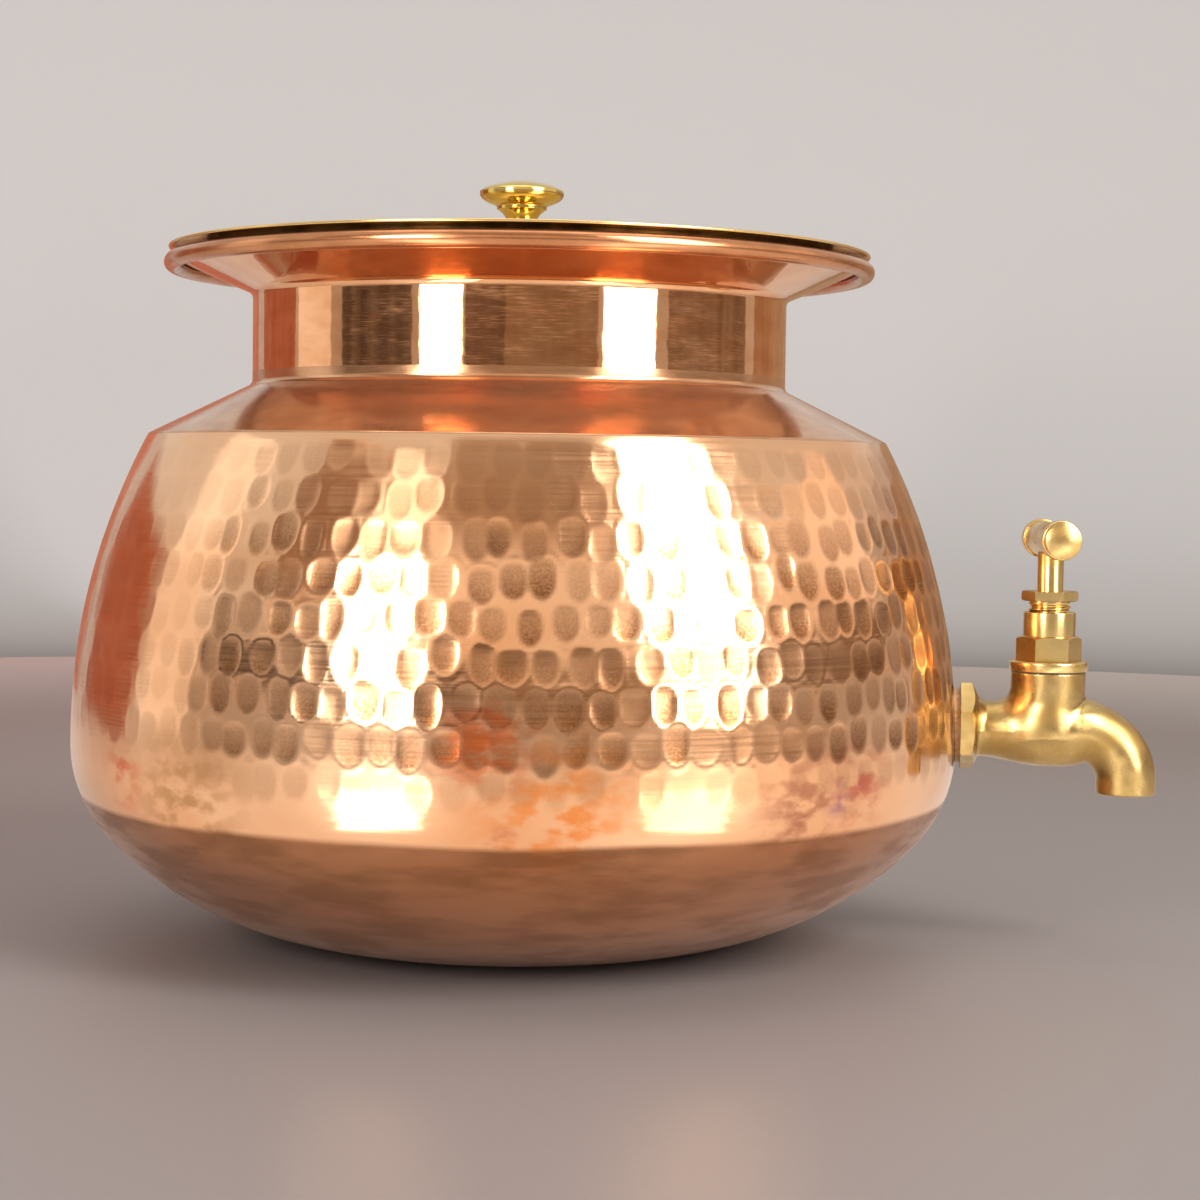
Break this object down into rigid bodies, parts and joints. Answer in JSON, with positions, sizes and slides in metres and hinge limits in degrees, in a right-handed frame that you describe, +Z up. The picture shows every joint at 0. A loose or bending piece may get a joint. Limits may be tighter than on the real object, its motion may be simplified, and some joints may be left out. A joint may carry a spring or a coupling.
{
  "type": "copper water dispenser",
  "caption": "Round hammered copper water pot with a wired flared rim, a lift-off brass lid with a turned knob, and a screw-down brass bib tap with a T-bar handle low on its side.",
  "frame": {"origin": "centre of the flat base, on the floor", "axes": "+Z up along the pot's axis, +X from the pot's axis towards the tap"},
  "size_m": [0.3663, 0.3, 0.2561],
  "materials": {
    "hammered_copper": "hammered and polished copper sheet",
    "polished_copper": "mirror-polished copper sheet",
    "sheet_brass": "spun brass sheet",
    "turned_brass": "turned and polished brass",
    "cast_brass": "cast and buffed brass",
    "fibre": "milky soft washer",
    "seal_rubber": "moulded rubber"
  },
  "bodies": {
    "vessel": {"pot_base": "hammered_copper", "pot_wall": "hammered_copper", "shoulder_ring": "polished_copper", "neck_flare": "polished_copper", "rim_wire": "polished_copper", "tap_body": "cast_brass", "outer_washer": "fibre", "inner_washer": "fibre", "back_nut": "turned_brass", "bonnet_gasket": "seal_rubber", "bonnet": "turned_brass", "gland_packing": "fibre", "gland_nut": "turned_brass"},
    "lid": {"lid_plate": "sheet_brass", "lid_collar": "sheet_brass", "lid_knob": "turned_brass", "knob_washer": "turned_brass", "knob_screw": "turned_brass"},
    "jumper": {"jumper_valve": "turned_brass", "seat_washer": "seal_rubber", "washer_nut": "turned_brass"},
    "handle": {"spindle": "turned_brass", "tee_handle": "turned_brass"}
  },
  "joints": [
    {"name": "lid_lift", "type": "slide", "parent": "vessel", "child": "lid", "axis": [0, 0, 1], "range_m": [0, 0.1]},
    {"name": "valve_rise", "type": "slide", "parent": "vessel", "child": "jumper", "axis": [0, 0, 1], "range_m": [0, 0.005]},
    {"name": "handle_turn", "type": "hinge", "parent": "jumper", "child": "handle", "pos_m": [0.18025, 0, 0.1371], "axis": [0, 0, 1], "range_deg": [0, 900]}
  ],
  "couplings": [
    {"joint": "valve_rise", "follows": "handle_turn", "m_per_rad": 0.0003183}
  ]
}
